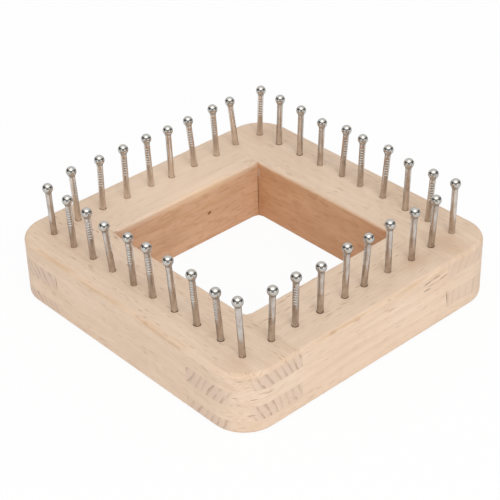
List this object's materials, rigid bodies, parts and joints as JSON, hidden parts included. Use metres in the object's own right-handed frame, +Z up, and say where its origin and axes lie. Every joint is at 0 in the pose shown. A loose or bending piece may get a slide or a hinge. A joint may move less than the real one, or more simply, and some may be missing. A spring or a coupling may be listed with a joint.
{
  "type": "square knitting loom",
  "caption": "Square hand knitting loom: a finger-jointed hardwood frame round an open middle, with round-headed steel pegs along all sides.",
  "frame": {"origin": "middle of the underside of the frame, on the surface that the loom lies on", "axes": "+Z up along the pegs, +X to the right rail, -Y to the front rail, sides parallel to X and Y"},
  "size_m": [0.133, 0.133, 0.0513],
  "materials": {
    "beech": "sanded, bare or thinly oiled",
    "nail_steel": "bright drawn wire, polished heads"
  },
  "bodies": {
    "root": {"front_rail": "beech", "right_rail": "beech", "back_rail": "beech", "left_rail": "beech", "front_peg_1": "nail_steel", "front_peg_2": "nail_steel", "front_peg_3": "nail_steel", "front_peg_4": "nail_steel", "front_peg_5": "nail_steel", "front_peg_6": "nail_steel", "front_peg_7": "nail_steel", "front_peg_8": "nail_steel", "front_peg_9": "nail_steel", "right_peg_1": "nail_steel", "right_peg_2": "nail_steel", "right_peg_3": "nail_steel", "right_peg_4": "nail_steel", "right_peg_5": "nail_steel", "right_peg_6": "nail_steel", "right_peg_7": "nail_steel", "right_peg_8": "nail_steel", "right_peg_9": "nail_steel", "back_peg_1": "nail_steel", "back_peg_2": "nail_steel", "back_peg_3": "nail_steel", "back_peg_4": "nail_steel", "back_peg_5": "nail_steel", "back_peg_6": "nail_steel", "back_peg_7": "nail_steel", "back_peg_8": "nail_steel", "back_peg_9": "nail_steel", "left_peg_1": "nail_steel", "left_peg_2": "nail_steel", "left_peg_3": "nail_steel", "left_peg_4": "nail_steel", "left_peg_5": "nail_steel", "left_peg_6": "nail_steel", "left_peg_7": "nail_steel", "left_peg_8": "nail_steel", "left_peg_9": "nail_steel"}
  },
  "joints": []
}
